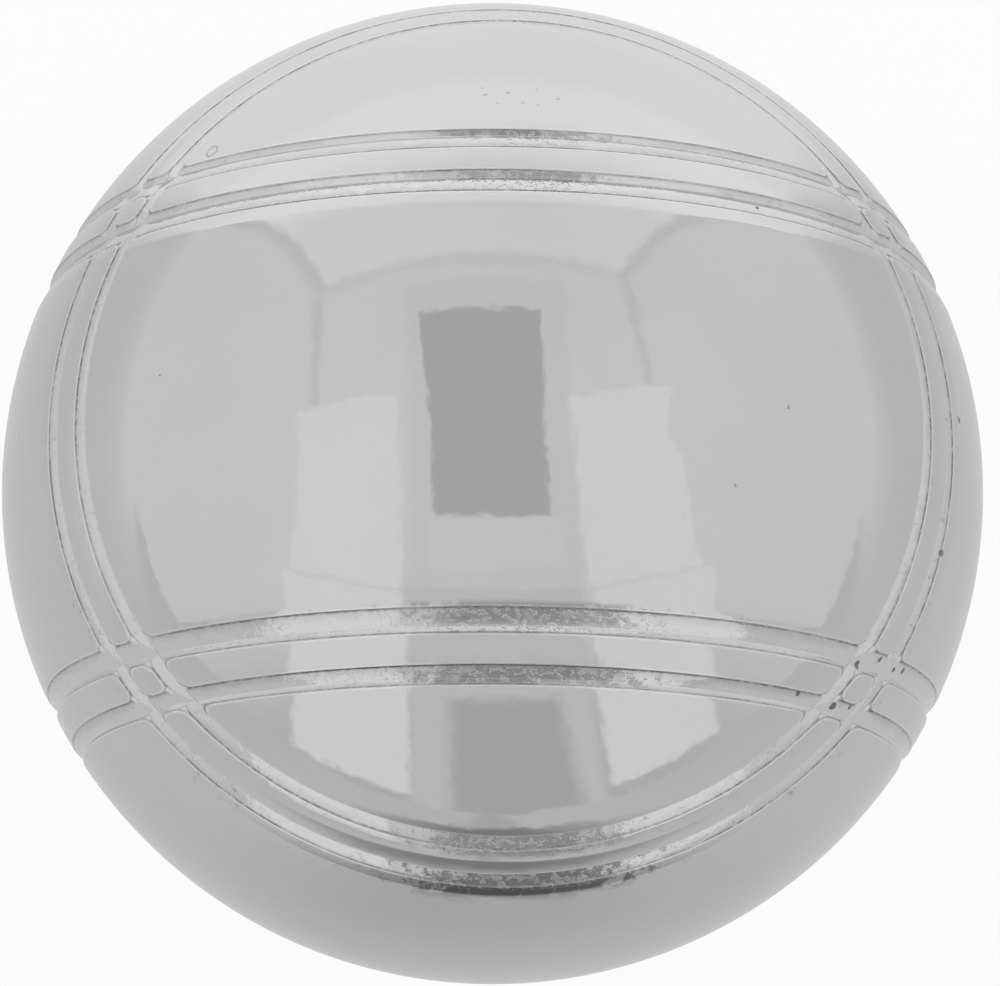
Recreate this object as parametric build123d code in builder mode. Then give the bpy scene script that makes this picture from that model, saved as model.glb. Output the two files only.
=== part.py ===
from build123d import *
from math import cos, degrees, radians, sin, tan
import os

# Leisure petanque boule, in millimetres
# Two pressed steel half shells are welded round the equator, pairs of shallow grooves are
# turned through shells and weld together, and mortar poured through a hole underneath fills
# the ball. A tapered plug closes the hole and is ground flush before plating.
# The origin is the centre of the ball. +Z is up as the ball lies, and the weld is at Z = 0.

# Ball
ball_diameter = 73.0
shell_wall = 3.0
mortar_shrinkage = 0.1  # gap that the mortar leaves all round as it cures

# Weld round the equator
root_land = 1.0  # thickness of the square faces on which the two halves meet
weld_root_width = 1.0
weld_flank_angle = 30.0  # degrees from the equator's plane

# Filling hole and its plug, at the bottom of the ball
fill_hole_diameter = 8.0  # at the outer surface
plug_taper_angle = 3.0  # degrees on each side

# Grooves, turned in pairs by a tool with two round-nosed cutters
cutter_radius = 1.2
pair_spacing = 3.9  # from groove to groove along the surface

# Where the middle of each pair lies, in degrees from the equator of its own axis
top_pair_latitude = 31.5
under_pair_latitude = 31.5
far_pair_latitude = 25.6
near_pair_latitude = 30.3

# Depth of each groove: nearer its axis's equator, then nearer its pole
top_inner_depth = 0.27
top_outer_depth = 0.27
far_inner_depth = 0.4
far_outer_depth = 0.4
near_inner_depth = 0.42
near_outer_depth = 0.25

cutter_overrun = 0.5

# Sizes that follow
ball_radius = ball_diameter / 2
inner_radius = ball_radius - shell_wall
core_radius = inner_radius - mortar_shrinkage
root_radius = inner_radius + root_land
weld_mouth_radius = ball_radius + cutter_overrun
weld_root_half = weld_root_width / 2
weld_mouth_half = weld_root_half + (weld_mouth_radius - root_radius) * tan(radians(weld_flank_angle))

# Each pair: the axis it is turned about, the plane of its section, the side of the equator,
# its latitude, and its two depths. The under pair is cut as deep as the top pair.
groove_pairs = [
    (Axis.Y, Plane.XY, 1, far_pair_latitude, far_inner_depth, far_outer_depth),
    (Axis.Y, Plane.XY, -1, near_pair_latitude, near_inner_depth, near_outer_depth),
    (Axis.Z, Plane.XZ, 1, top_pair_latitude, top_inner_depth, top_outer_depth),
    (Axis.Z, Plane.XZ, -1, under_pair_latitude, top_inner_depth, top_outer_depth),
]


def on_circle(radius, angle):
    """The point at this radius and latitude in a section plane, whose second axis is the pole."""
    return (radius * cos(radians(angle)), radius * sin(radians(angle)))


# Outside of the finished ball, shared by the two half shells, the weld and the plug
with BuildPart() as ball_form:
    Sphere(ball_radius, rotation=(90, 0, 0))
    for axis, section, side, pair_latitude, inner_depth, outer_depth in groove_pairs:
        half_spacing = degrees(pair_spacing / 2 / ball_radius)
        for depth, step in ((inner_depth, -half_spacing), (outer_depth, half_spacing)):
            cutter_distance = ball_radius - depth + cutter_radius
            with BuildSketch(section):
                with Locations(on_circle(cutter_distance, side * (pair_latitude + step))):
                    Circle(cutter_radius)
            revolve(axis=axis, mode=Mode.SUBTRACT)

# Ring of weld metal before it is ground to the ball, which is also the V cut in both halves
with BuildPart() as weld_ring:
    with BuildSketch(Plane.XZ):
        with BuildLine():
            Polyline(
                (root_radius, -weld_root_half),
                (weld_mouth_radius, -weld_mouth_half),
                (weld_mouth_radius, weld_mouth_half),
                (root_radius, weld_root_half),
                close=True,
            )
        make_face()
    revolve(axis=Axis.Z)

# Tapered filling hole and the plug driven into it
hole_radius = fill_hole_diameter / 2
taper = tan(radians(plug_taper_angle))
hole_top = -inner_radius + shell_wall / 2  # clear of the inside of the shell
hole_bottom = -ball_radius - cutter_overrun


def taper_radius(height):
    """Radius of the tapered hole at this height, widest outside the ball."""
    return hole_radius - (height + ball_radius) * taper


with BuildPart() as hole_cutter:
    with BuildSketch(Plane.XZ):
        with BuildLine():
            Polyline(
                (0, hole_bottom),
                (taper_radius(hole_bottom), hole_bottom),
                (taper_radius(hole_top), hole_top),
                (0, hole_top),
                close=True,
            )
        make_face()
    revolve(axis=Axis.Z)

# Upper half shell, pressed from steel sheet
with BuildPart() as upper_half_shell:
    add(ball_form.part)
    split(bisect_by=Plane.XY, keep=Keep.TOP)
    Sphere(inner_radius, mode=Mode.SUBTRACT)
    add(weld_ring.part, mode=Mode.SUBTRACT)

# Lower half shell, with the filling hole at its pole
with BuildPart() as lower_half_shell:
    add(ball_form.part)
    split(bisect_by=Plane.XY, keep=Keep.BOTTOM)
    Sphere(inner_radius, mode=Mode.SUBTRACT)
    add(weld_ring.part, mode=Mode.SUBTRACT)
    add(hole_cutter.part, mode=Mode.SUBTRACT)

# Weld bead, ground flush with the ball and grooved with it
with BuildPart() as seam_weld:
    add(weld_ring.part)
    add(ball_form.part, mode=Mode.INTERSECT)

# Plug, driven in, then ground round with the ball
with BuildPart() as fill_plug:
    with BuildSketch(Plane.XZ):
        with BuildLine():
            Polyline(
                (0, hole_bottom),
                (taper_radius(hole_bottom), hole_bottom),
                (taper_radius(-inner_radius), -inner_radius),
                (0, -inner_radius),
                close=True,
            )
        make_face()
    revolve(axis=Axis.Z)
    Sphere(ball_radius, mode=Mode.INTERSECT)

# Mortar core, cast inside the welded shell
with BuildPart() as mortar_core:
    Sphere(core_radius)

pieces = {
    "upper_half_shell": upper_half_shell,
    "lower_half_shell": lower_half_shell,
    "seam_weld": seam_weld,
    "fill_plug": fill_plug,
    "mortar_core": mortar_core,
}

os.makedirs("parts", exist_ok=True)
for name, piece in pieces.items():
    piece.part.label = name
    export_step(piece.part, f"parts/{name}.step")
    print(f"{name}: {len(piece.part.solids())} solid, {piece.part.volume:.1f} cubic mm")
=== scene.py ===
# %% [markdown]
# # A plated petanque boule
#
# A leisure boule is a hollow steel ball. Two pressed half shells are welded round the
# equator, pairs of shallow grooves are turned through shells and weld together, the ball is
# filled with mortar through a hole underneath, and a plug closes it before plating. Almost
# all that the eye gets from it is reflection, so this lesson is about two things: a ball whose
# normals are exact, and a studio that is worth reflecting.
#
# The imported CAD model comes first. Nothing below moves it; each of its pieces is dressed by a
# finer one in the same place.

# %% Load the frame
import random
from math import atan, degrees, radians, sqrt, tan

import bmesh
import bpy
import numpy as np
from mathutils import Matrix, Vector


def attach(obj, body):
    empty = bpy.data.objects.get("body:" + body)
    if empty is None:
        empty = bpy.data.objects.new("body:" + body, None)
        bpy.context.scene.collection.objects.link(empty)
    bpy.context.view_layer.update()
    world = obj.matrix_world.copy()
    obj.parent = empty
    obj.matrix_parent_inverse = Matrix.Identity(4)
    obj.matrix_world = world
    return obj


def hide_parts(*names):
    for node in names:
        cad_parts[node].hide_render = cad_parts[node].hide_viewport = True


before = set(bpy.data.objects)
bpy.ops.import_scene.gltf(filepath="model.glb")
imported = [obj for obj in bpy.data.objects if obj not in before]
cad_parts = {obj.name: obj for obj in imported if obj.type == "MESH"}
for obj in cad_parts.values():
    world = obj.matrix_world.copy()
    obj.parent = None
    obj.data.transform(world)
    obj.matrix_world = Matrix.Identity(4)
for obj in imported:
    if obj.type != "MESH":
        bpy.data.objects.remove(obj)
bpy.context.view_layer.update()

print("CAD nodes:", ", ".join(sorted(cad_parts)))

# %% [markdown]
# ## Sizes
#
# These are the sizes that the CAD model was built with, in metres. Latitudes are counted from
# the equator of the axis that a pair of grooves was turned about, towards its pole.

# %% Sizes of the boule
mm = 0.001
ball_radius = 36.5 * mm
inner_radius = 33.5 * mm
core_radius = 33.4 * mm

weld_root_radius = 34.5 * mm
weld_root_half = 0.5 * mm
weld_flank_angle = radians(30)

hole_radius = 4 * mm
plug_taper = tan(radians(3))

cutter_radius = 1.2 * mm
pair_spacing = 3.9 * mm
pair_steps = (-pair_spacing / 2, pair_spacing / 2)
deepest_groove = 0.42 * mm

# Latitude of the middle of a pair, then its groove nearer the equator and the one nearer the
# pole. For each groove: the depth that the cutter is set to, the slope of its floor, how far the
# land beside it is worn down on the equator's side, between which shares of its half width,
# towards the pole, a painted dark reflection darkens its middle stretch, and how much.
far_pair = (  # about Y, at +Y
    radians(25.6),
    (0.40 * mm, tan(radians(11)), 1.1 * mm, 0.45, 1.0, 0.4),
    (0.40 * mm, tan(radians(11)), 0.0, 0.45, 1.0, 0.4),
)
near_pair = (  # about Y, at -Y
    radians(30.3),
    (0.42 * mm, tan(radians(12)), 0.45 * mm, -1.4, 0.35, 0.42),
    (0.25 * mm, tan(radians(11)), 0.0, -1.1, 0.9, 0.45),
)
upright_pair = (  # about Z, above and below alike
    radians(31.5),
    (0.27 * mm, tan(radians(15)), 0.9 * mm, -2.4, 0.9, 0.7),
    (0.27 * mm, tan(radians(12)), 1.1 * mm, -1.6, 0.9, 0.42),
)
print("ball", round(2 * ball_radius / mm, 3), "mm across")

# %% [markdown]
# ## The section of a groove
#
# The round nose of the cutter is worn off to one side: its floor falls gently from the rim near
# the equator of its axis to a steep wall near the pole. Polishing rounds the rims and wears the
# land beside some of them down to a faint flat, plating builds a thin raised lip along every
# rim, and where two grooves cross, the land between them is left with rounded corners.
#
# The depth of the surface is written as a function of direction, for any point of the ball.
# One function gives the shape, the normals and the masks of the soil and painted light, so they
# can't disagree.

# %% Sizes of the section
rim_step = 0.05 * mm  # small wall at the rim near the equator
wall_slope = tan(radians(42))
foot_rounding = 0.06 * mm
rim_rounding = 0.06 * mm
corner_reach = 0.9 * mm
corner_depth = 0.15 * mm  # below this depth the corners stay sharp
worn_slope = tan(radians(7))
worn_rounding = 0.18 * mm
worn_end = 0.4 * mm  # width over which a worn flat ends at the wall
lip_height = 0.005 * mm
lip_reach = 0.09 * mm
lip_place = 0.8 * lip_reach  # of the middle of the lip, outside the rim

# %% Sizes of the soil and painted shade, and of the painted dark reflection, in the grooves
soil_and_shade_reach = 0.08 * mm
rim_soil_and_shade = (0.8, 0.5 * soil_and_shade_reach, soil_and_shade_reach)  # strength, place inside the rim, reach
equator_soil_and_shade = (0.7, 0.8 * soil_and_shade_reach, 1.2 * soil_and_shade_reach)
crossing_start, crossing_end = -0.3 * mm, -0.05 * mm  # cut depths of the other family
dark_reflection_fade = 0.25  # share of the half width, on both sides of each end
dark_reflection_middle = 1.5 * mm  # along X
near_dark_reflection_half_length = 7.0 * mm
far_dark_reflection_half_length = 4.2 * mm
whole_share, bare_share = 0.3, 1.7  # of the half length: the middle stretch begins to fade, and is gone
print("steepest wall", round(degrees(atan(wall_slope))), "degrees")


# %% Curves that the section is made of
def soft_corner(x, reach):
    """0 for a negative x and x for a positive one, with the corner rounded over a reach."""
    return np.where(np.abs(x) < reach, (x + reach) ** 2 / (4 * reach), np.maximum(x, 0))


def ease_between(x, start, end):
    """0 before start and 1 after end, smoothly between."""
    t = np.clip((x - start) / (end - start), 0, 1)
    return t * t * (3 - 2 * t)


def bump_line(distance, reach):
    """A rounded crest, 1 at distance 0 and 0 beyond the reach."""
    return np.maximum(1 - (distance / reach) ** 2, 0) ** 2


# %% Section of one groove
def half_width(depth):
    """Half the width of a groove that the round cutter leaves at this depth."""
    return np.sqrt(cutter_radius**2 - (cutter_radius - depth) ** 2)


def smooth_min(a, b):
    """The smaller of two depths, with the corner between them rounded."""
    overlap = np.maximum(foot_rounding - np.abs(a - b), 0)
    return np.minimum(a, b) - overlap**2 / (4 * foot_rounding)


def cut_depth(across, depth, slope):
    """Depth of the cut under the rims; beyond them their slopes go on above the ball."""
    half = half_width(depth)
    from_equator = half + across
    falling = smooth_min(from_equator, rim_step + slope * from_equator)
    return smooth_min(falling, wall_slope * (half - across))


def worn_depth(across, depth, reach):
    """Depth of the flat worn beside a groove on the equator's side; its floor lies that lower."""
    half = half_width(depth)
    flat = worn_slope * soft_corner(reach + np.minimum(across + half, 0), worn_rounding)
    return flat * (reach > 0) * (1 - ease_between(across, half - worn_end, half))


print("half width at 0.27 mm deep:", round(float(half_width(0.27 * mm)) / mm, 3), "mm")


# %% The grooves beside a direction
def latitudes(directions):
    """Angles from the equators of Y and of Z, the same on both sides of them."""
    y, z = np.clip(directions[:, 1], -1, 1), np.clip(directions[:, 2], -1, 1)
    return np.abs(np.arcsin(y)), np.abs(np.arcsin(z))


def y_pair_beside(directions):
    """The pair about Y that lies on each point's side, with arrays for its numbers."""
    far = directions[:, 1] > 0
    grooves = [
        tuple(np.where(far, a, b) for a, b in zip(far_pair[i], near_pair[i])) for i in (1, 2)
    ]
    return np.where(far, far_pair[0], near_pair[0]), *grooves


def family(latitude, pair):
    """For both grooves of a pair: each point's place across it, then the groove's numbers."""
    middle, *grooves = pair
    return [
        ((latitude - middle) * ball_radius - step, *groove)
        for step, groove in zip(pair_steps, grooves)
    ]


# %% Depth and masks in any direction
tiny = 1e-9  # keeps a reach from being zero


def survey(directions):
    """Depth of the ball's surface under its round form, and the masks of its soil and painted
    light.
    """
    y_latitude, z_latitude = latitudes(directions)
    y_grooves = family(y_latitude, y_pair_beside(directions))
    z_grooves = family(z_latitude, upright_pair)
    y_cut, z_cut = (
        np.maximum(*(cut_depth(*groove[:3]) for groove in grooves))
        for grooves in (y_grooves, z_grooves)
    )
    # Both families joined, with the corners of the land rounded near its own height
    deeper = np.maximum(y_cut, z_cut)
    reach = corner_reach * (1 - ease_between(deeper, 0, corner_depth)) + tiny
    cut = deeper + np.maximum(reach - np.abs(y_cut - z_cut), 0) ** 2 / (4 * reach)
    hollow = (cut + np.sqrt(cut**2 + rim_rounding**2)) / 2
    worn = np.zeros(len(directions))
    for across, depth, slope, wear, *soiling in y_grooves + z_grooves:
        worn = np.maximum(worn, worn_depth(across, depth, wear))
    # The lip is raised a little, and its mask also paints a highlight along every rim
    lip = bump_line(cut + lip_place, lip_reach)
    # Dark lines under the rims, of soil and painted shade
    strength, place, reach = rim_soil_and_shade
    soil_and_shade = strength * bump_line(cut - place, reach)
    # A painted dark reflection on the floors of the grooves in front: on all grooves about Y, and
    # on the upright pair only on the near side
    painted_dark_reflection = np.zeros(len(directions))
    near = directions[:, 1] < 0
    for grooves, other_cut, shows_dark_reflection in ((y_grooves, z_cut, 1.0), (z_grooves, y_cut, near)):
        clear = 1 - ease_between(other_cut, crossing_start, crossing_end)
        for across, depth, slope, wear, start, end, darkness in grooves:
            half = half_width(depth)
            # The same, of soil and painted shade, under the rim near the equator
            strength, place, reach = equator_soil_and_shade
            soil_and_shade += strength * clear * bump_line(across + half - place, reach)
            share = across / half
            filled = ease_between(share, start - dark_reflection_fade, start + dark_reflection_fade)
            filled *= 1 - ease_between(share, end - dark_reflection_fade, end + dark_reflection_fade)
            painted_dark_reflection = np.maximum(painted_dark_reflection, filled * clear * darkness * shows_dark_reflection)
    # The middle stretch along X, where the painted dark reflection and the lines of soil and
    # painted shade are whole
    aside = np.abs(directions[:, 0] * ball_radius - dark_reflection_middle)
    length = np.where(near, near_dark_reflection_half_length, far_dark_reflection_half_length)
    stretch = 1 - ease_between(aside, whole_share * length, bare_share * length)
    return {
        "depth": hollow + worn - lip_height * lip,
        # The lip's mask, for the painted highlight along the rims
        "edge": np.clip(lip, 0, 1),
        "soil_and_shade": np.clip(soil_and_shade, 0, 1),
        "painted_dark_reflection": painted_dark_reflection,
        "stretch": stretch,
        "about_y": (y_cut > z_cut).astype(float),
    }


def groove_depth_at(directions):
    """Depth alone."""
    return survey(directions)["depth"]


def unit(vectors):
    """The same directions with length 1."""
    return vectors / np.linalg.norm(vectors, axis=1, keepdims=True)


top = np.array([(0.0, 0.0, 1.0)])
print("depth at the top of the ball:", round(float(groove_depth_at(top)[0]) / mm, 3), "mm")

# %% Exact normals in any direction
normal_step = 0.01 * mm / ball_radius
near_x_axis = 0.8


def surface_normals(directions):
    """Outward normals of the grooved ball, from four neighbours of each point."""
    x_axis, z_axis = (1.0, 0.0, 0.0), (0.0, 0.0, 1.0)
    helper = np.where(np.abs(directions[:, :1]) < near_x_axis, x_axis, z_axis)
    tangent = unit(np.cross(directions, helper))
    other = np.cross(directions, tangent)
    differences = []
    for way in (tangent, other):
        ends = []
        for sign in (-1, 1):
            beside = unit(directions + sign * normal_step * way)
            ends.append(beside * (ball_radius - groove_depth_at(beside))[:, None])
        differences.append(ends[1] - ends[0])
    return unit(np.cross(differences[0], differences[1]))


# %% [markdown]
# ## The ball's surface
#
# All plated pieces share one outside, so it is made once: an icosphere, whose triangles are
# even everywhere, cut by flat planes with Bisect. A groove round Y lies between planes of
# constant Y, so every line of its section becomes a row of edges. The crossings then get
# smaller triangles for their rounded corners.

# %% Planes of the groove sections
# Places of the lines in mm: inside both rims, down the wall near the pole, about a flat's start
rim_lines = (-0.18, -0.1, -0.05, -0.01, 0.03, 0.07, 0.12, 0.2)
wall_lines = (0.27, 0.33, 0.39, 0.46, 0.55)
flat_lines = (-0.16, 0.0, 0.16)


def section_lines(pair):
    """Latitudes of the lines along both grooves of a pair, in radians."""
    middle, *grooves = pair
    lines = []
    for step, (depth, slope, wear, *soiling) in zip(pair_steps, grooves):
        half = half_width(depth)
        across = [0.0]
        for inside in rim_lines:
            across += [half - inside * mm, inside * mm - half]
        across += [half - inside * mm for inside in wall_lines]
        if wear:
            across += [-half - wear + line * mm for line in flat_lines]
        lines += [middle + (step + line) / ball_radius for line in across]
    return sorted(lines)


cut_planes = []
for pair, axis, sides in (
    (far_pair, (0, 1, 0), (1,)),
    (near_pair, (0, 1, 0), (-1,)),
    (upright_pair, (0, 0, 1), (1, -1)),
):
    for latitude in section_lines(pair):
        for side in sides:
            height = side * ball_radius * np.sin(latitude)
            cut_planes.append((Vector(axis) * height, axis))

seam_outer_half = weld_root_half + (ball_radius - weld_root_radius) * tan(weld_flank_angle)
for height in (seam_outer_half, -seam_outer_half):
    cut_planes.append((Vector((0, 0, height)), (0, 0, 1)))
plug_rim_height = -sqrt(ball_radius**2 - hole_radius**2)
cut_planes.append((Vector((0, 0, plug_rim_height)), (0, 0, 1)))
print("planes:", len(cut_planes))


# %% Cut the sphere
bisect_limit = 1e-6
merge_distance = 0.01 * mm


def deselect_all():
    """Leaves no object selected."""
    bpy.ops.object.select_all(action="DESELECT")


def rows(items, name, width=3, kind=float):
    """One property of all vertices, edges or faces, a row each."""
    flat = np.empty(len(items) * width, kind)
    items.foreach_get(name, flat)
    return flat.reshape(-1, width)


def coordinates(mesh):
    """Places of all vertices."""
    return rows(mesh.vertices, "co")


def start_edit(piece):
    """Selects one object alone and opens it in edit mode."""
    deselect_all()
    piece.select_set(True)
    bpy.context.view_layer.objects.active = piece
    bpy.ops.object.mode_set(mode="EDIT")


deselect_all()
bpy.ops.mesh.primitive_ico_sphere_add(subdivisions=6, radius=ball_radius)
ball = bpy.context.object
ball.name = "ball_outside"
bpy.ops.object.mode_set(mode="EDIT")
for point, normal in cut_planes:
    bpy.ops.mesh.select_all(action="SELECT")
    bpy.ops.mesh.bisect(plane_co=point, plane_no=normal, threshold=bisect_limit)
bpy.ops.mesh.select_all(action="SELECT")
bpy.ops.mesh.remove_doubles(threshold=merge_distance)
bpy.ops.object.mode_set(mode="OBJECT")


def round_off_and_triangulate(piece):
    """Puts every vertex on the round ball, then makes triangles, so that none is flat."""
    places = unit(coordinates(piece.data)) * ball_radius
    piece.data.vertices.foreach_set("co", places.ravel())
    piece.data.update()
    bpy.ops.object.mode_set(mode="EDIT")
    bpy.ops.mesh.select_all(action="SELECT")
    bpy.ops.mesh.quads_convert_to_tris()
    bpy.ops.object.mode_set(mode="OBJECT")


round_off_and_triangulate(ball)
print("faces after the cuts:", len(ball.data.polygons))


# %% Smaller triangles at the crossings
def rim_distance(latitude, pair):
    """Distance from each point to the nearest rim of a pair, negative between its rims."""
    place = (latitude - pair[0]) * ball_radius
    return np.abs(place) - pair_spacing / 2 - half_width(pair[1][0])


crossing_margin = 0.9 * mm
longest_edge = 0.2 * mm
rounds_of_splitting = 3
bpy.context.tool_settings.mesh_select_mode = (False, True, False)
for again in range(rounds_of_splitting):
    mesh = ball.data
    places = coordinates(mesh)
    ends = rows(mesh.edges, "vertices", 2, int)
    lengths = np.linalg.norm(places[ends[:, 0]] - places[ends[:, 1]], axis=1)
    middles = unit(places[ends].mean(axis=1))
    y_latitude, z_latitude = latitudes(middles)
    beside_y = rim_distance(y_latitude, y_pair_beside(middles)) < crossing_margin
    beside_z = rim_distance(z_latitude, upright_pair) < crossing_margin
    chosen = beside_y & beside_z & (lengths > longest_edge)
    mesh.vertices.foreach_set("select", np.zeros(len(mesh.vertices), bool))
    mesh.polygons.foreach_set("select", np.zeros(len(mesh.polygons), bool))
    mesh.edges.foreach_set("select", chosen)
    bpy.ops.object.mode_set(mode="EDIT")
    bpy.ops.mesh.subdivide(number_cuts=1)
    bpy.ops.object.mode_set(mode="OBJECT")
    round_off_and_triangulate(ball)
    print("split", int(chosen.sum()), "edges; faces:", len(ball.data.polygons))

# %% [markdown]
# ## Five pieces from one surface
#
# The outside is divided at the seam and round the plug while it is still truly round, so the
# dividing lines are circles. Each part then becomes a closed piece: its open rims are extruded
# down the faces that meet inside the wall.

# %% Divide the outside
def take_faces(source, name, belongs):
    """Moves the faces of source whose middle belongs to a new piece, and returns it."""
    mesh = source.data
    chosen = belongs(rows(mesh.polygons, "center"))
    mesh.vertices.foreach_set("select", np.zeros(len(mesh.vertices), bool))
    mesh.edges.foreach_set("select", np.zeros(len(mesh.edges), bool))
    mesh.polygons.foreach_set("select", chosen)
    start_edit(source)
    bpy.ops.mesh.separate(type="SELECTED")
    bpy.ops.object.mode_set(mode="OBJECT")
    taken = [item for item in bpy.context.selected_objects if item is not source][0]
    taken.name = name
    taken.data.name = name
    return taken


bpy.context.tool_settings.mesh_select_mode = (False, False, True)
plug = take_faces(ball, "ground_plug", lambda middle: middle[:, 2] < plug_rim_height)
weld = take_faces(ball, "ground_weld", lambda middle: np.abs(middle[:, 2]) < seam_outer_half)
upper_shell = take_faces(ball, "polished_upper_shell", lambda middle: middle[:, 2] > 0)
lower_shell = ball
lower_shell.name = "polished_lower_shell"
lower_shell.data.name = "polished_lower_shell"
plated_pieces = [upper_shell, lower_shell, weld, plug]
for piece in plated_pieces:
    print(piece.name, len(piece.data.polygons), "faces outside")

# %% Press the grooves in
for piece in plated_pieces:
    directions = unit(coordinates(piece.data))
    depth = groove_depth_at(directions)
    piece.data.vertices.foreach_set("co", (directions * (ball_radius - depth)[:, None]).ravel())
    piece.data.update()
    print(piece.name, "deepest", round(depth.max() / mm, 3), "mm")

# %% [markdown]
# The inner wall is a coarser half sphere, turned inside out. It is joined to the shell and
# bridged to the rim. The mortar hides it, but a shell that is only skin could not be cut open,
# printed or weighed.

# %% Open edges and rims
def select_open_edges(piece, wanted=lambda middle: True):
    """Selects the open edges of the piece in edit mode whose middle is wanted."""
    bpy.ops.mesh.select_all(action="DESELECT")
    bpy.ops.mesh.select_mode(type="EDGE")
    shape = bmesh.from_edit_mesh(piece.data)
    for edge in shape.edges:
        if edge.is_boundary and wanted((edge.verts[0].co + edge.verts[1].co) / 2):
            edge.select = True
    shape.select_flush_mode()
    bmesh.update_edit_mesh(piece.data)


def extrude_rim(piece, radius, height):
    """Extrudes the selected rim to a circle about Z of this radius, at this height."""
    bpy.ops.mesh.extrude_edges_move()
    shape = bmesh.from_edit_mesh(piece.data)
    for vertex in shape.verts:
        if vertex.select:
            outward = Vector((vertex.co.x, vertex.co.y, 0)).normalized() * radius
            vertex.co = (outward.x, outward.y, height)
    bmesh.update_edit_mesh(piece.data)


# %% Inner walls
hole_inner_radius = hole_radius - (ball_radius - inner_radius) * plug_taper
inner_hole_height = -sqrt(inner_radius**2 - hole_inner_radius**2)


def add_inner_wall(shell, side):
    """Joins the inner half sphere to a shell, on the side of the seam where it lies."""
    deselect_all()
    bpy.ops.mesh.primitive_uv_sphere_add(segments=128, ring_count=64, radius=inner_radius)
    wall = bpy.context.object
    bpy.ops.object.mode_set(mode="EDIT")
    cuts = [(0, side)] + ([(inner_hole_height, 1)] if side < 0 else [])
    for height, way in cuts:
        bpy.ops.mesh.select_all(action="SELECT")
        bpy.ops.mesh.bisect(
            plane_co=(0, 0, height), plane_no=(0, 0, way), clear_inner=True, threshold=bisect_limit
        )
    bpy.ops.mesh.select_all(action="SELECT")
    bpy.ops.mesh.flip_normals()
    bpy.ops.object.mode_set(mode="OBJECT")
    deselect_all()
    wall.select_set(True)
    shell.select_set(True)
    bpy.context.view_layer.objects.active = shell
    bpy.ops.object.join()


for shell, side in ((upper_shell, 1), (lower_shell, -1)):
    start_edit(shell)
    select_open_edges(shell, lambda middle: abs(middle.z) < ball_radius / 2)
    extrude_rim(shell, weld_root_radius, side * weld_root_half)
    extrude_rim(shell, weld_root_radius, 0)
    bpy.ops.object.mode_set(mode="OBJECT")
    add_inner_wall(shell, side)
    start_edit(shell)
    select_open_edges(shell, lambda middle: abs(middle.z) < ball_radius / 2)
    bpy.ops.mesh.bridge_edge_loops()
    if side < 0:
        select_open_edges(shell, lambda middle: middle.z < -ball_radius / 2)
        bpy.ops.mesh.bridge_edge_loops()
    bpy.ops.object.mode_set(mode="OBJECT")
    print(shell.name, "with its inner wall:", len(shell.data.polygons), "faces")

# %% Weld bead and plug
start_edit(weld)
for side in (1, -1):
    select_open_edges(weld, lambda middle: side * middle.z > weld_root_half)
    extrude_rim(weld, weld_root_radius, side * weld_root_half)
select_open_edges(weld)
bpy.ops.mesh.bridge_edge_loops()
bpy.ops.object.mode_set(mode="OBJECT")

start_edit(plug)
select_open_edges(plug)
extrude_rim(plug, hole_inner_radius, -inner_radius)
bpy.ops.mesh.edge_face_add()
bpy.ops.object.mode_set(mode="OBJECT")
print("weld", len(weld.data.polygons), "faces, plug", len(plug.data.polygons), "faces")


# %% Close, orient and check the pieces
def open_edges_and_volume(piece):
    """How many edges do not join two faces, and the volume inside."""
    shape = bmesh.new()
    shape.from_mesh(piece.data)
    count = sum(1 for edge in shape.edges if not edge.is_manifold)
    volume = shape.calc_volume(signed=True)
    shape.free()
    return count, volume


for piece in plated_pieces:
    start_edit(piece)
    bpy.ops.mesh.select_all(action="SELECT")
    bpy.ops.mesh.quads_convert_to_tris()
    bpy.ops.mesh.normals_make_consistent(inside=False)
    bpy.ops.object.mode_set(mode="OBJECT")
    count, volume = open_edges_and_volume(piece)
    print(piece.name, len(piece.data.polygons), "triangles,", count, "open edges")
    print("  volume", round(volume * 1e6, 3), "cubic cm")

# %% [markdown]
# Chrome shows the smallest error of a normal as a kink in what it reflects. Normals averaged
# from uneven triangles have such errors, so the outside gets the normals of the formula, and
# the faces inside the wall stay flat.

# %% Exact normals
outside_reach = 1 * mm  # deeper than any groove, and less deep than the faces inside the wall
for piece in plated_pieces:
    mesh = piece.data
    places = coordinates(mesh)
    normals = surface_normals(unit(places))
    depths = ball_radius - np.linalg.norm(places, axis=1)
    face_normals = rows(mesh.polygons, "normal")
    corners = rows(mesh.loops, "vertex_index", 1, int).ravel()
    faces = np.repeat(np.arange(len(mesh.polygons)), 3)
    outside = (depths[corners].reshape(-1, 3) < outside_reach).all(axis=1)
    corner_normals = np.where(outside[faces][:, None], normals[corners], face_normals[faces])
    mesh.polygons.foreach_set("use_smooth", np.ones(len(mesh.polygons), bool))
    mesh.normals_split_custom_set(corner_normals.tolist())
    print(piece.name, "outside faces", int(outside.sum()))

# %% [markdown]
# ## The mortar core
#
# Mortar is poured in and shrinks a little as it cures, so its skin is rough and pitted. Nobody
# sees it before the ball is cut, and it is made by two Displace modifiers that only press
# inwards, so it stays clear of the steel.

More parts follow.
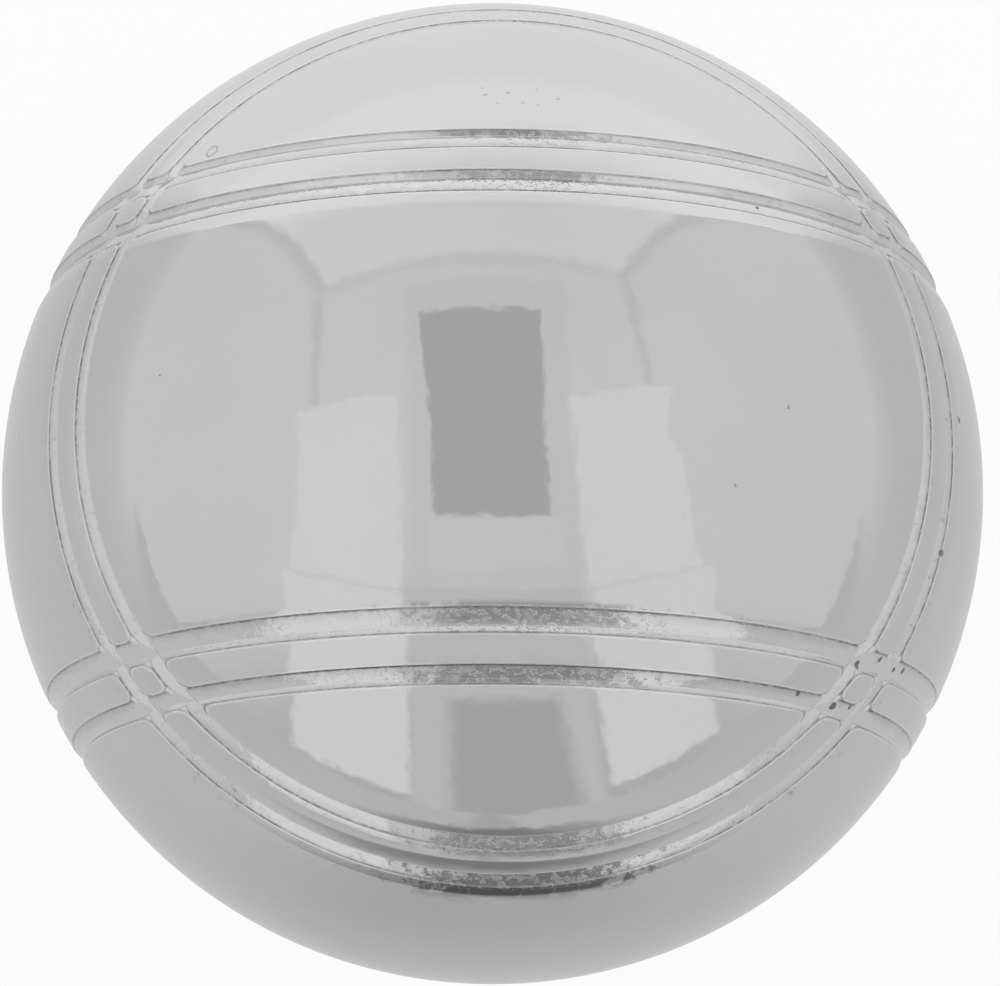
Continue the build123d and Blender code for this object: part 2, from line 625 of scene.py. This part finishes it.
# %% Mortar core
deselect_all()
bpy.ops.mesh.primitive_ico_sphere_add(subdivisions=6, radius=core_radius)
core = bpy.context.object
core.name = "cured_mortar"
core.data.name = "cured_mortar"
for name, kind, size, strength in (
    ("mortar_swells", "CLOUDS", 8 * mm, 0.25 * mm),
    ("mortar_grit", "CLOUDS", 1.2 * mm, 0.12 * mm),
):
    texture = bpy.data.textures.new(name, kind)
    texture.noise_scale = size
    displace = core.modifiers.new(name, "DISPLACE")
    displace.texture = texture
    displace.texture_coords = "LOCAL"
    displace.mid_level = 1
    displace.strength = strength
    bpy.ops.object.modifier_apply(modifier=name)
bpy.ops.object.shade_smooth()
print("core within", round(max(v.co.length for v in core.data.vertices) / mm, 2), "mm")


# %% [markdown]
# ## Materials
#
# The plating is a mirror that follows every unevenness of the steel under it. Three effects
# are shared by shells, weld and plug, and each is a node group: the slow waves of polished
# sheet, the marks of the cutter on the groove floors, and the wear of handling.

# %% Helpers for node trees
def add_node(tree, kind, inputs=None, **settings):
    """Adds a node, sets it up, and links or sets its inputs."""
    made = tree.nodes.new(kind)
    for name, value in settings.items():
        setattr(made, name, value)
    for name, value in (inputs or {}).items():
        if isinstance(value, bpy.types.NodeSocket):
            tree.links.new(value, made.inputs[name])
        else:
            made.inputs[name].default_value = value
    return made


def math_node(tree, operation, *values):
    """Result of a Math node."""
    made = add_node(tree, "ShaderNodeMath", dict(enumerate(values)), operation=operation)
    return made.outputs[0]


def vector_node(tree, operation, *values):
    """Outputs of a Vector Math node."""
    made = add_node(tree, "ShaderNodeVectorMath", dict(enumerate(values)), operation=operation)
    return made.outputs


def ease(tree, value, start, end):
    """0 at start and 1 at end, smoothly between."""
    inputs = {"Value": value, "From Min": start, "From Max": end}
    made = add_node(tree, "ShaderNodeMapRange", inputs, interpolation_type="SMOOTHSTEP")
    return made.outputs["Result"]


def noise(tree, place, scale, detail, roughness=0.5):
    """Cloudy noise with this many features to the metre."""
    inputs = {"Vector": place, "Scale": scale, "Detail": detail, "Roughness": roughness}
    return add_node(tree, "ShaderNodeTexNoise", inputs).outputs["Fac"]


def mix(tree, factor, a, b, kind="RGBA"):
    """a where the factor is 0 and b where it is 1, for colours or for numbers (FLOAT)."""
    made = add_node(tree, "ShaderNodeMix", {"Factor": factor, "A": a, "B": b}, data_type=kind)
    return made.outputs["Result"]


def gray(level):
    """A gray as a colour."""
    return (level, level, level, 1)


# %% Helpers for node groups
def new_group(name, inputs, outputs):
    """A node group with these sockets, and its input and output nodes."""
    group = bpy.data.node_groups.new(name, "ShaderNodeTree")
    for socket, kind, value in inputs:
        made = group.interface.new_socket(socket, in_out="INPUT", socket_type=kind)
        if value is not None:
            made.default_value = value
    for socket, kind in outputs:
        group.interface.new_socket(socket, in_out="OUTPUT", socket_type=kind)
    return group, group.nodes.new("NodeGroupInput"), group.nodes.new("NodeGroupOutput")


def use_group(tree, group, inputs):
    """Outputs of a node group placed in a tree."""
    return add_node(tree, "ShaderNodeGroup", inputs, node_tree=group).outputs


# %% Masks on the mesh for the soil and painted light of the grooves
mask_names = ("edge", "soil_and_shade", "painted_dark_reflection", "stretch", "about_y")


def store(mesh, name, values):
    """Keeps one number for each vertex, which the material reads by its name."""
    layer = mesh.attributes.new(name, "FLOAT", "POINT")
    layer.data.foreach_set("value", values.astype(np.float32))


for piece in plated_pieces:
    found = survey(unit(coordinates(piece.data)))
    store(piece.data, "groove_depth", found["depth"] / deepest_groove)
    for mask in mask_names:
        store(piece.data, mask, found[mask])
print("masks:", "groove_depth", *mask_names)

# %% [markdown]
# Pressed sheet is never quite round. After polishing, its swells and ripples are only some
# thousandths of a millimetre high, but a mirror shows them: straight edges come out wavy.

# %% Group: slow waves of the polished steel
micrometre = 1e-6
number, vector = "NodeSocketFloat", "NodeSocketVector"
waves, entry, result = new_group(
    "polished_waves",
    [
        ("Position", vector, None),
        ("Wave Length", number, 3 * mm),
        ("Wave Height", number, micrometre),
    ],
    [("Height", number)],
)
per_metre = math_node(waves, "DIVIDE", 1.0, entry.outputs["Wave Length"])
swell = noise(waves, entry.outputs["Position"], per_metre, 1.0, 0.4)
height = math_node(waves, "MULTIPLY", swell, entry.outputs["Wave Height"])
waves.links.new(height, result.inputs["Height"])
print(waves.name, len(waves.nodes), "nodes")

# %% [markdown]
# The cutter leaves fine rings along its groove. They are noise stretched about the axis that the
# groove was turned round, so each family of grooves has its own. Plating grows beads on such
# rough floors, and it grows them in patches.

# %% Group: marks of the cutter and beads of plating in the grooves
cutter, entry, result = new_group(
    "cutter_marks",
    [
        ("Position", vector, None),
        ("Depth Share", number, 0.0),
        ("About Y", number, 0.0),
        ("Stretch", number, 0.0),
        ("Ridge Height", number, 6 * micrometre),
        ("Bead Height", number, 26 * micrometre),
    ],
    [(name, number) for name in ("Height", "Beads", "Breaks", "Patches", "Stretches")],
)
position, stretch = entry.outputs["Position"], entry.outputs["Stretch"]
in_groove = ease(cutter, entry.outputs["Depth Share"], 0.08, 0.35)
along, across = 300, 5200  # features to the metre along a groove, and across it
streaks = []
for scale in ((along, across, along), (along, along, across)):
    stretched = add_node(cutter, "ShaderNodeMapping", {"Vector": position, "Scale": scale})
    streaks.append(noise(cutter, stretched.outputs[0], 1.0, 2.0, 0.6))
about_y_streaks, about_z_streaks = streaks
streak = mix(cutter, entry.outputs["About Y"], about_z_streaks, about_y_streaks, "FLOAT")
ridges = math_node(cutter, "MULTIPLY", streak, entry.outputs["Ridge Height"])

# %% Beads, and the ragged ends of the painted dark reflection, of the same group
least_cover = 0.25  # share of the beads that is left away from the middle stretch
# Levels of the noises at which each mark begins, and where it is full
bead_levels, patch_levels = (0.52, 0.62), (0.44, 0.58)
break_levels, band_levels = (0.35, 0.6), (0.3, 0.7)
bead_noise = noise(cutter, position, 2000.0, 2.0, 0.55)
patch_noise = noise(cutter, position, 130.0, 2.0)
band_noise = noise(cutter, position, 1000.0, 4.0, 0.7)
patches = ease(cutter, patch_noise, *patch_levels)
cover = math_node(cutter, "MULTIPLY_ADD", stretch, 1 - least_cover, least_cover)
covered = math_node(cutter, "MAXIMUM", patches, stretch)
cover = math_node(cutter, "MULTIPLY", cover, math_node(cutter, "MULTIPLY", covered, in_groove))
beads = math_node(cutter, "MULTIPLY", ease(cutter, bead_noise, *bead_levels), cover)
bead_height = math_node(cutter, "MULTIPLY", beads, entry.outputs["Bead Height"])
ridges = math_node(cutter, "MULTIPLY", ridges, in_groove)
for name, socket in (
    ("Height", math_node(cutter, "ADD", ridges, bead_height)),
    ("Beads", beads),
    ("Breaks", ease(cutter, bead_noise, *break_levels)),
    ("Patches", ease(cutter, band_noise, *band_levels)),
    ("Stretches", patches),
):
    cutter.links.new(socket, result.inputs[name])
print(cutter.name, len(cutter.nodes), "nodes")

# %% [markdown]
# Balls knock against each other and pick up pits, and plating has small faults of its own. The
# larger pits are placed one by one, and the small ones are scattered with a fixed seed.

# %% Places of the pits
knocks = [  # middle and radius in mm
    (32.03, 1.75, 17.41, 0.16),
    (32.94, 2.09, 15.59, 0.2),
    (31.43, -8.03, 16.73, 0.22),
    (26.72, -16.32, 18.75, 0.2),
    (25.05, -17.13, 20.29, 0.24),
    (28.78, -16.44, 15.27, 0.22),
    (28.04, -16.65, 16.40, 0.16),
    (24.47, -19.70, 18.59, 0.14),
    (23.22, -19.97, 19.86, 0.26),
    (20.29, -19.67, 23.10, 0.2),
    (17.37, 13.88, 28.95, 0.12),
    (-24.21, 1.43, 27.28, 0.07),
]
knock_darkness, scratch_darkness = 0.85, 0.3
pits = [(*knock, knock_darkness) for knock in knocks]
dice = random.Random(7)
for again in range(9):
    x, y = dice.uniform(-2.5, 7.5), dice.uniform(20.4, 22.4)
    z = sqrt((ball_radius / mm) ** 2 - x**2 - y**2)
    pits.append((x, y, z, dice.uniform(0.06, 0.11), scratch_darkness))
print(len(pits), "pits")

# %% Group: pits and other marks of use
outer_share, inner_share = 1.4, 0.9  # of a pit's radius, between which it fades
ring_middle, ring_radius = (-20.97, 19.09, 22.98), 0.5  # of a ring-shaped blemish, in mm
ring_line, ring_darkness = (0.13 * mm, 0.05 * mm), 0.4
unevenness = 0.3 * mm
use_marks, entry, result = new_group(
    "marks_of_use", [("Position", vector, None)], [("Pits", number)]
)
position = entry.outputs["Position"]
shaken = noise(use_marks, position, 2500.0, 1.0)
shake = math_node(use_marks, "MULTIPLY_ADD", shaken, unevenness, -unevenness / 2)

# Distances are measured on the round ball, so that pits on groove floors are found too
outward = vector_node(use_marks, "NORMALIZE", position)["Vector"]
on_ball = vector_node(use_marks, "MULTIPLY", outward, (ball_radius,) * 3)["Vector"]


def distance_to(place):
    """Distance to a place given in mm, shaken a little so that outlines are uneven."""
    away = vector_node(use_marks, "DISTANCE", on_ball, tuple(c * mm for c in place))
    return math_node(use_marks, "ADD", away["Value"], shake)


from_ring = math_node(use_marks, "SUBTRACT", distance_to(ring_middle), ring_radius * mm)
spot = ease(use_marks, math_node(use_marks, "ABSOLUTE", from_ring), *ring_line)
spot = math_node(use_marks, "MULTIPLY", spot, ring_darkness)
for *place, radius, darkness in pits:
    edges = radius * outer_share * mm, radius * inner_share * mm
    pit = ease(use_marks, distance_to(place), *edges)
    pit = math_node(use_marks, "MULTIPLY", pit, darkness)
    spot = math_node(use_marks, "MAXIMUM", spot, pit)

# %% Specks of the same group
speck_edge, speck_chance, speck_darkness = (0.05, 0.025), (0.72, 1.0), 0.5
cells = add_node(
    use_marks, "ShaderNodeTexVoronoi", {"Vector": position, "Scale": 260.0, "Randomness": 1.0}
)
chance = add_node(use_marks, "ShaderNodeSeparateColor", {"Color": cells.outputs["Color"]})
chosen = ease(use_marks, chance.outputs["Red"], *speck_chance)
chosen = math_node(use_marks, "MULTIPLY", chosen, speck_darkness)
speck = ease(use_marks, cells.outputs["Distance"], *speck_edge)
speck = math_node(use_marks, "MULTIPLY", speck, chosen)
use_marks.links.new(math_node(use_marks, "MAXIMUM", spot, speck), result.inputs["Pits"])
print(use_marks.name, len(use_marks.nodes), "nodes")

# %% [markdown]
# Plating is a metal of almost even gray. Rubbing makes it cloudy and the unrubbed grooves stay a
# little brighter, soil and painted shade darken it, and lips and beads get painted highlights.
# Soil and painted shade lie in broken lines under the rims, a painted dark reflection lies in
# patches on the floors in front, and soil lies in the pits.

# %% Height, soil, painted shade, painted dark reflection and painted highlights of the plating
wave_kinds = ((9 * mm, 3), (1.2 * mm, 1.3))  # length, and share of the material's wave height


def plating_height(tree, position, wave_height, marks):
    """Slow and quick waves of the steel, and the marks of the cutter on them."""
    layers = []
    for length, share in wave_kinds:
        inputs = {"Position": position, "Wave Length": length, "Wave Height": wave_height * share}
        layers.append(use_group(tree, waves, inputs)["Height"])
    return math_node(tree, "ADD", math_node(tree, "ADD", *layers), marks["Height"])


def soil_shade_and_reflection_share(tree, position, masks, marks):
    """How much soil, painted shade and painted dark reflection cover the plating."""
    # Broken lines of soil and painted shade under the rims, whole in the middle stretch
    broken = math_node(tree, "MULTIPLY_ADD", marks["Breaks"], 0.4, 0.45)
    along = math_node(tree, "MULTIPLY_ADD", marks["Stretches"], 0.35, 0.65)
    along = math_node(tree, "MAXIMUM", along, masks["stretch"])
    lines = math_node(tree, "MULTIPLY", masks["soil_and_shade"], math_node(tree, "MULTIPLY", broken, along))
    # A painted dark reflection, ragged at its ends, on the floors in front
    ragged = math_node(tree, "MULTIPLY_ADD", marks["Patches"], 1.1, -0.55)
    ragged = math_node(tree, "ADD", masks["stretch"], ragged)
    on_floor = math_node(tree, "MULTIPLY", ease(tree, ragged, 0.3, 0.8), masks["painted_dark_reflection"])
    spots = use_group(tree, use_marks, {"Position": position})["Pits"]
    return math_node(tree, "MAXIMUM", math_node(tree, "MAXIMUM", lines, on_floor), spots)


def painted_highlight_share(tree, masks, marks):
    """How much painted highlight brightens the lips and beads above the plating round them."""
    # A painted highlight along the lips, broken in places, and a weaker one on the beads
    lip_highlights = math_node(tree, "MULTIPLY_ADD", marks["Breaks"], 0.3, 0.2)
    lip_highlights = math_node(tree, "MULTIPLY", masks["edge"], lip_highlights)
    return math_node(tree, "MAXIMUM", lip_highlights, math_node(tree, "MULTIPLY", marks["Beads"], 0.25))


# %% Plated materials
gray_spread = 0.045  # to both sides of the gray, by rubbing
unworn_gain = 0.04
# A dark gray for soil, painted shade and painted dark reflection, and a light gray for painted
# highlights
soil_shade_and_reflection_gray, painted_highlight_gray = 0.1, 0.93
least_roughness, most_roughness = 0.8, 1.25  # shares of the material's roughness


def plated_material(name, base_gray, roughness, wave_height):
    """Plating of this gray and roughness over steel with waves of this height."""
    material = bpy.data.materials.new(name)
    material.use_nodes = True
    tree = material.node_tree
    tree.nodes.clear()
    position = add_node(tree, "ShaderNodeTexCoord").outputs["Object"]
    masks = {
        mask: add_node(tree, "ShaderNodeAttribute", attribute_name=mask).outputs["Fac"]
        for mask in ("groove_depth", *mask_names)
    }
    inputs = {
        "Position": position,
        "Depth Share": masks["groove_depth"],
        "About Y": masks["about_y"],
        "Stretch": masks["stretch"],
    }
    marks = use_group(tree, cutter, inputs)
    height = plating_height(tree, position, wave_height, marks)
    bump = add_node(tree, "ShaderNodeBump", {"Height": height, "Distance": 1.0, "Strength": 1.0})
    inputs = {
        "Value": noise(tree, position, 140.0, 3.0),
        "To Min": roughness * least_roughness,
        "To Max": roughness * most_roughness,
    }
    dull = add_node(tree, "ShaderNodeMapRange", inputs)
    cloudy = noise(tree, position, 55.0, 4.0)
    unworn = ease(tree, masks["groove_depth"], 0.25, 0.6)
    tone = mix(tree, cloudy, gray(base_gray - gray_spread), gray(base_gray + gray_spread))
    tone = mix(tree, unworn, tone, gray(base_gray + unworn_gain))
    # Soil, painted shade and painted dark reflection darken the plating
    tone = mix(tree, soil_shade_and_reflection_share(tree, position, masks, marks), tone, gray(soil_shade_and_reflection_gray))
    # Painted highlights brighten the lips and beads
    tone = mix(tree, painted_highlight_share(tree, masks, marks), tone, gray(painted_highlight_gray))
    inputs = {
        "Base Color": tone,
        "Metallic": 1.0,
        "Roughness": dull.outputs["Result"],
        "Normal": bump.outputs["Normal"],
    }
    shader = add_node(tree, "ShaderNodeBsdfPrincipled", inputs)
    output = tree.nodes.new("ShaderNodeOutputMaterial")
    tree.links.new(shader.outputs["BSDF"], output.inputs["Surface"])
    print(name, len(tree.nodes), "nodes")
    return material


shell_plating = plated_material("plated_shell", 0.66, 0.05, 7 * micrometre)
weld_plating = plated_material("plated_weld", 0.66, 0.05, 7 * micrometre)
plug_plating = plated_material("plated_plug", 0.65, 0.06, 8 * micrometre)

# %% [markdown]
# Mortar is sand in gray cement, matt and gritty.

# %% Mortar material
mortar = bpy.data.materials.new("mortar")
mortar.use_nodes = True
tree = mortar.node_tree
shader = tree.nodes["Principled BSDF"]
position = add_node(tree, "ShaderNodeTexCoord").outputs["Object"]
sand = noise(tree, position, 700.0, 4.0)
cement_color, sand_color = (0.36, 0.34, 0.3, 1), (0.62, 0.6, 0.55, 1)
grit = add_node(tree, "ShaderNodeBump", {"Height": sand, "Distance": 0.2 * mm})
tree.links.new(mix(tree, sand, cement_color, sand_color), shader.inputs["Base Color"])
tree.links.new(grit.outputs["Normal"], shader.inputs["Normal"])
shader.inputs["Roughness"].default_value = 0.9
print(mortar.name, len(tree.nodes), "nodes")

# %% [markdown]
# Each piece now takes the place of its CAD piece. It gets its material, rides on the one body
# of the ball, and says which node it replaces.

# %% Dress the pieces
def dress(piece, material, node_name):
    """Gives a piece its material and puts it in the place of a CAD piece."""
    piece.data.materials.clear()
    piece.data.materials.append(material)
    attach(piece, "root")
    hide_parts(node_name)
    print(piece.name, "replaces", node_name)


dress(upper_shell, shell_plating, "upper_half_shell")
dress(lower_shell, shell_plating, "lower_half_shell")
dress(weld, weld_plating, "seam_weld")
dress(plug, plug_plating, "fill_plug")
dress(core, mortar, "mortar_core")

# %% [markdown]
# ## Camera
#
# The photograph was taken from almost above, with a long lens ten radii away. A lens that long
# shows nearly half of the ball. The ball is a little left of the middle of the picture.

# %% Camera
camera_direction = Vector((-0.0418, -0.2383, 0.9703)).normalized()
image_up = Vector((-0.0133, 0.9711, 0.2379))
image_right = image_up.cross(camera_direction).normalized()
image_up = camera_direction.cross(image_right)
camera_distance = 9.85 * ball_radius

camera_data = bpy.data.cameras.new("camera")
camera = bpy.data.objects.new("camera", camera_data)
bpy.context.scene.collection.objects.link(camera)
turned = Matrix((image_right, image_up, camera_direction)).transposed().to_4x4()
camera.matrix_world = Matrix.Translation(camera_direction * camera_distance) @ turned
camera_data.sensor_width = 36
camera_data.lens = 173.1
camera_data.shift_x = 0.0075
camera_data.shift_y = 0.0006
camera_data.clip_start = 0.01
bpy.context.scene.camera = camera
print("camera", round(camera_distance, 3), "m from the middle of the ball")

# %% [markdown]
# ## Floor and studio
#
# The floor is a pale sheet. The camera sees it almost white, with a soft shadow; the chrome
# sees it brighter on the far side than on the near side, as in the photograph. It glows with
# levels painted by place, and a part of it stays plain paper, which takes the shadow.

# %% Floor
deselect_all()
bpy.ops.mesh.primitive_plane_add(size=4, location=(0, 0, -ball_radius))
floor = bpy.context.object
floor.name = "floor"
bpy.ops.object.transform_apply(location=True, rotation=False, scale=False)
paper = bpy.data.materials.new("pale_paper")
paper.use_nodes = True
tree = paper.node_tree
tree.nodes.clear()
path = add_node(tree, "ShaderNodeLightPath")
place = add_node(tree, "ShaderNodeTexCoord").outputs["Object"]
parts = add_node(tree, "ShaderNodeSeparateXYZ", {0: place}).outputs
aside = math_node(tree, "ABSOLUTE", parts["X"])


def change(level, where, amount):
    """The level, changed by an amount where the mask is 1."""
    return math_node(tree, "MULTIPLY_ADD", where, amount, level)


# Bright in a sector on the far side, and darker just in front. Fades are in metres
far_light = ease(tree, parts["Y"], 0.0, 0.12)
past_sector = math_node(tree, "MULTIPLY_ADD", parts["Y"], -1.0, aside)
far_light = math_node(tree, "MULTIPLY", far_light, ease(tree, past_sector, 0.03, -0.03))
near_dark = ease(tree, parts["Y"], -0.01, -0.1)
near_dark = math_node(tree, "MULTIPLY", near_dark, ease(tree, aside, 0.09, 0.015))
# Away from the ball the sheet meets the tent without an edge
away = ease(tree, vector_node(tree, "LENGTH", place)["Value"], 0.08, 0.9)
level = change(0.66, away, 0.18)
level = change(level, far_light, change(0.36, away, -0.07))
level = change(level, near_dark, -0.15)
# The near half is darker to the horizon, with a dark patch in the middle of it
near_half = math_node(tree, "MULTIPLY", ease(tree, parts["Y"], 0.0, -0.2), away)
level = change(level, near_half, -0.2)
patch_near, patch_far = ease(tree, parts["Y"], -0.13, -0.2), ease(tree, parts["Y"], -0.6, -0.42)
patch = math_node(tree, "MULTIPLY", patch_near, patch_far)
patch = math_node(tree, "MULTIPLY", patch, ease(tree, aside, 0.17, 0.06))
level = change(level, patch, -0.38)

# %% Glow and paper of the floor
paper_gray = 0.9
seen_glow, mirrored_glow = 0.93, 0.75  # shares of glow for the camera and in reflections
level = mix(tree, path.outputs["Is Camera Ray"], level, 1.0, "FLOAT")
glow = add_node(tree, "ShaderNodeEmission", {"Strength": level})
sheet = add_node(tree, "ShaderNodeBsdfDiffuse", {"Color": gray(paper_gray)})
seen = math_node(tree, "MULTIPLY", path.outputs["Is Camera Ray"], seen_glow)
mirrored = math_node(tree, "MULTIPLY", path.outputs["Is Glossy Ray"], mirrored_glow)
share = math_node(tree, "MAXIMUM", seen, mirrored)
mixed = add_node(tree, "ShaderNodeMixShader", {0: share, 1: sheet.outputs[0], 2: glow.outputs[0]})
output = tree.nodes.new("ShaderNodeOutputMaterial")
tree.links.new(mixed.outputs[0], output.inputs["Surface"])
floor.data.materials.append(paper)
print(paper.name, len(tree.nodes), "nodes")

# %% [markdown]
# The studio is painted in the world, because a mirror ball shows all of it: a pale tent, a
# dark upright opening near the camera, and brighter windows beside it. Painted cards cost no
# light samples, and each can be placed by the angle at which the photo shows it.
#
# A card has a low and a high edge. Its left and right edges may lean between them, and its
# high edge may climb to the right by a slant.

# %% Group: studio card
edge_names = ("Low", "Low Left", "Low Right", "High", "High Left", "High Right")
card, entry, result = new_group(
    "studio_card",
    [("Yaw", number, 0.0), ("Pitch", number, 0.0)]
    + [(name, number, 0.0) for name in edge_names]
    + [("Slant", number, 0.0), ("Softness", number, 0.02)]
    + [("Under", number, 0.0), ("Level", number, 0.0)],
    [("Level", number)],
)
sockets = entry.outputs
climbed = add_node(
    card,
    "ShaderNodeMapRange",
    {"Value": sockets["Pitch"], "From Min": sockets["Low"], "From Max": sockets["High"]},
)
high_edge = math_node(card, "MULTIPLY_ADD", sockets["Yaw"], sockets["Slant"], sockets["High"])
mask = None
for bound, angle, sign in (
    (("Low",), "Pitch", 1),
    (("High",), "Pitch", -1),
    (("Low Left", "High Left"), "Yaw", 1),
    (("Low Right", "High Right"), "Yaw", -1),
):
    edge = high_edge if bound == ("High",) else sockets[bound[0]]
    if len(bound) > 1:
        edge = mix(card, climbed.outputs["Result"], edge, sockets[bound[1]], "FLOAT")
    past = math_node(card, "SUBTRACT", sockets[angle], edge)
    past = math_node(card, "DIVIDE", past, sockets["Softness"])
    inside = ease(card, past, -0.5 * sign, 0.5 * sign)
    mask = inside if mask is None else math_node(card, "MULTIPLY", mask, inside)
shown = mix(card, mask, sockets["Under"], sockets["Level"], "FLOAT")
card.links.new(shown, result.inputs["Level"])
print(card.name, len(card.nodes), "nodes")

# %% [markdown]
# Yaw and pitch are found from the direction in which a ray leaves the scene, as a camera at the
# ball would count them. The tent comes first, and every card is laid over what is under it.

# %% World and tent
world = bpy.data.worlds.new("studio")
bpy.context.scene.world = world
world.use_nodes = True
tree = world.node_tree
tree.nodes.clear()
direction = add_node(tree, "ShaderNodeTexCoord").outputs["Generated"]


def component(axis):
    """Share of the direction that points along an axis of the studio."""
    return vector_node(tree, "DOT_PRODUCT", direction, tuple(axis))["Value"]


rightward, upward = component(image_right), component(image_up)
frontward = component(camera_direction)
yaw = math_node(tree, "ARCSINE", rightward)
pitch = math_node(tree, "ARCTAN2", upward, frontward)

# The tent is darker on the near side and behind the ball
tent_level, near_loss, behind_loss = 0.8, 0.21, 0.16
turned_away = (-0.3, -0.95)
near_side = math_node(tree, "MULTIPLY", ease(tree, upward, *turned_away), near_loss)
behind = math_node(tree, "MULTIPLY", ease(tree, frontward, *turned_away), behind_loss)
tent = math_node(tree, "SUBTRACT", tent_level, math_node(tree, "MAXIMUM", near_side, behind))

# %% Cards
# Each card: low edge and its left and right end, high edge and its ends, softness, level, and
# slant if any. Angles are degrees to the right of the camera and above it, as it would turn.
cards = [
    ((55, -60, 60), (150, -60, 60), 3, 0.855),  # far wall
    ((84, -60, 60), (150, -60, 60), 26, 1.03),  # and its brighter top
    ((50, -100, -33.6), (150, -100, -52), 1.6, 0.8),  # tent on both sides of it
    ((50, 25.4, 100), (150, 57, 100), 1.6, 0.8),
    ((53.5, -35, 27), (56.5, -35, 27), 3, 0.765),  # its lower edge
    ((55, -36, -33.5), (116, -47, -44.5), 2.2, 0.715),  # folds of the tent
    ((54, 25, 27.5), (116, 44.5, 47), 2.2, 0.715),
    ((24, -41, -39), (55, -37, -35), 2.2, 0.715),
    ((28, 34.5, 36), (55, 26, 28), 2.2, 0.715),
    ((-22, -46, -20), (24, -44, -21), 1.2, 0.885),  # left window
    ((-75, -38, -14.5), (-23, -48, -20), 1.8, 0.885),
    ((-22, 21.5, 47.5), (12, 18.5, 43.5), 1.2, 0.885),  # right window
    ((11, 18.5, 43.5), (16, 17, 39.5), 1.2, 0.885, 0.35),
    ((-76, 22, 43), (-23, 22, 51), 1.8, 0.885),
    ((-25, -19, 21), (50, -18, 15), 2.5, 0.765),  # stand between the windows
    ((-85, -14, 21), (-22, -19, 20), 2.5, 0.7),
    ((-17, -15, 16), (-5, -15, 16), 2, 0.79),
    ((-5, -13, 13), (42.5, -15.5, 10), 0.9, 0.54),  # dark upright opening
    ((-83, -7, 17), (-47, -9, 14), 4.5, 0.53),  # and the one under it
]
level = tent
for low_edge, high_edge, softness, brightness, *slant in cards:
    edges = zip(edge_names, map(radians, low_edge + high_edge))
    inputs = {
        "Yaw": yaw,
        "Pitch": pitch,
        **dict(edges),
        "Slant": slant[0] if slant else 0.0,
        "Softness": radians(softness),
        "Under": level,
        "Level": brightness,
    }
    level = use_group(tree, card, inputs)["Level"]
path = add_node(tree, "ShaderNodeLightPath")
level = mix(tree, path.outputs["Is Camera Ray"], level, 1.0, "FLOAT")
inputs = {"Color": gray(1), "Strength": level}
background = add_node(tree, "ShaderNodeBackground", inputs)
output = tree.nodes.new("ShaderNodeOutputWorld")
tree.links.new(background.outputs[0], output.inputs["Surface"])
print(len(cards), "cards")

# %% [markdown]
# ## Finish
#
# The plain view transform keeps the painted levels as they are.

# %% Finish
bpy.context.scene.view_settings.view_transform = "Standard"
